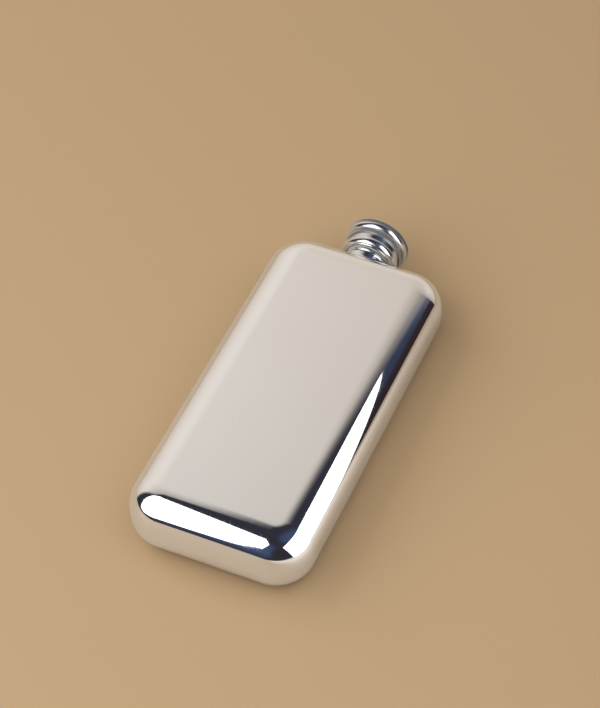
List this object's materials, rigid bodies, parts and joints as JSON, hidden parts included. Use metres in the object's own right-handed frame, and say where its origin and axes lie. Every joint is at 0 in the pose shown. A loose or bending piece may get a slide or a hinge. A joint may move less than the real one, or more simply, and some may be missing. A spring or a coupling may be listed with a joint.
{
  "type": "hip flask",
  "caption": "Slim rounded rectangular hip flask of polished metal, lying on its back, with a stepped screw cap that has a milled rim.",
  "frame": {"origin": "centre of the flat back face that the flask lies on", "axes": "+X across the width, +Y along the flask towards the cap, +Z from the back face to the front face"},
  "size_m": [0.0582, 0.1366, 0.0214],
  "materials": {
    "pewter": "mirror-polished pewter",
    "solder": "dull cast solder",
    "insert_plastic": "moulded satin plastic",
    "seal_plastic": "soft matt sheet"
  },
  "bodies": {
    "flask": {"front_shell": "pewter", "back_shell": "pewter", "seam_solder": "solder", "neck_collar": "pewter", "neck_tube": "pewter", "collar_solder": "solder"},
    "seal": {"seal_disc": "seal_plastic"},
    "cap": {"cap_shell": "pewter", "cap_insert": "insert_plastic"}
  },
  "joints": [
    {"name": "cap_lift", "type": "slide", "parent": "flask", "child": "seal", "axis": [0, 1, 0], "range_m": [0, 0.00801]},
    {"name": "cap_turn", "type": "hinge", "parent": "seal", "child": "cap", "pos_m": [-0.0014, 0.07, 0.0107], "axis": [0, 1, 0], "range_deg": [0, 1440]}
  ],
  "couplings": [
    {"joint": "cap_lift", "follows": "cap_turn", "m_per_rad": 0.00031831}
  ]
}
